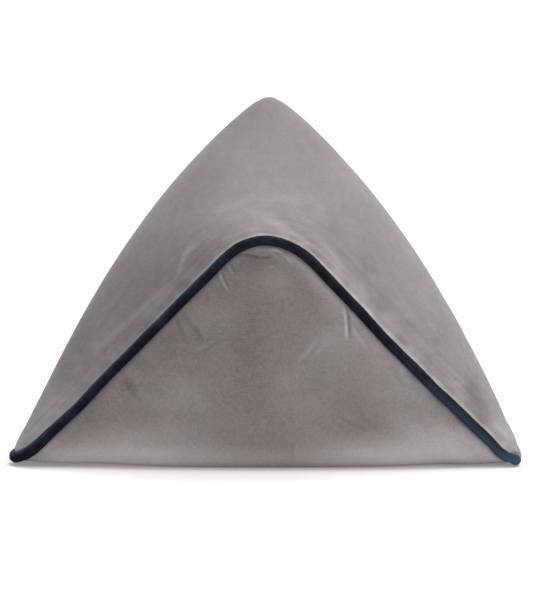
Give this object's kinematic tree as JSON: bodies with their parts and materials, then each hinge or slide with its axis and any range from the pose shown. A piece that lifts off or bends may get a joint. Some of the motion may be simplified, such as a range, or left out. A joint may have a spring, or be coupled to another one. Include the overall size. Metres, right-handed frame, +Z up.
{
  "type": "pyramid pillow",
  "caption": "Stuffed three-cornered pyramid pillow in plain velvet with a contrasting welt round its base panel, which turns up at the front as a round-topped triangle.",
  "frame": {"origin": "on the floor, at the middle of the pillow's outline seen from above", "axes": "+X to the right along the front fold, +Y from the welted front panel to the back corner, +Z up to the top corner"},
  "size_m": [0.5202, 0.448, 0.3665],
  "materials": {
    "velvet": "short cotton velvet, warm grey, soft sheen and mottled nap",
    "welt_cover": "bias-cut navy velvet over a round cord"
  },
  "bodies": {
    "root": {"cushion": "velvet", "welt": "welt_cover"}
  },
  "joints": []
}
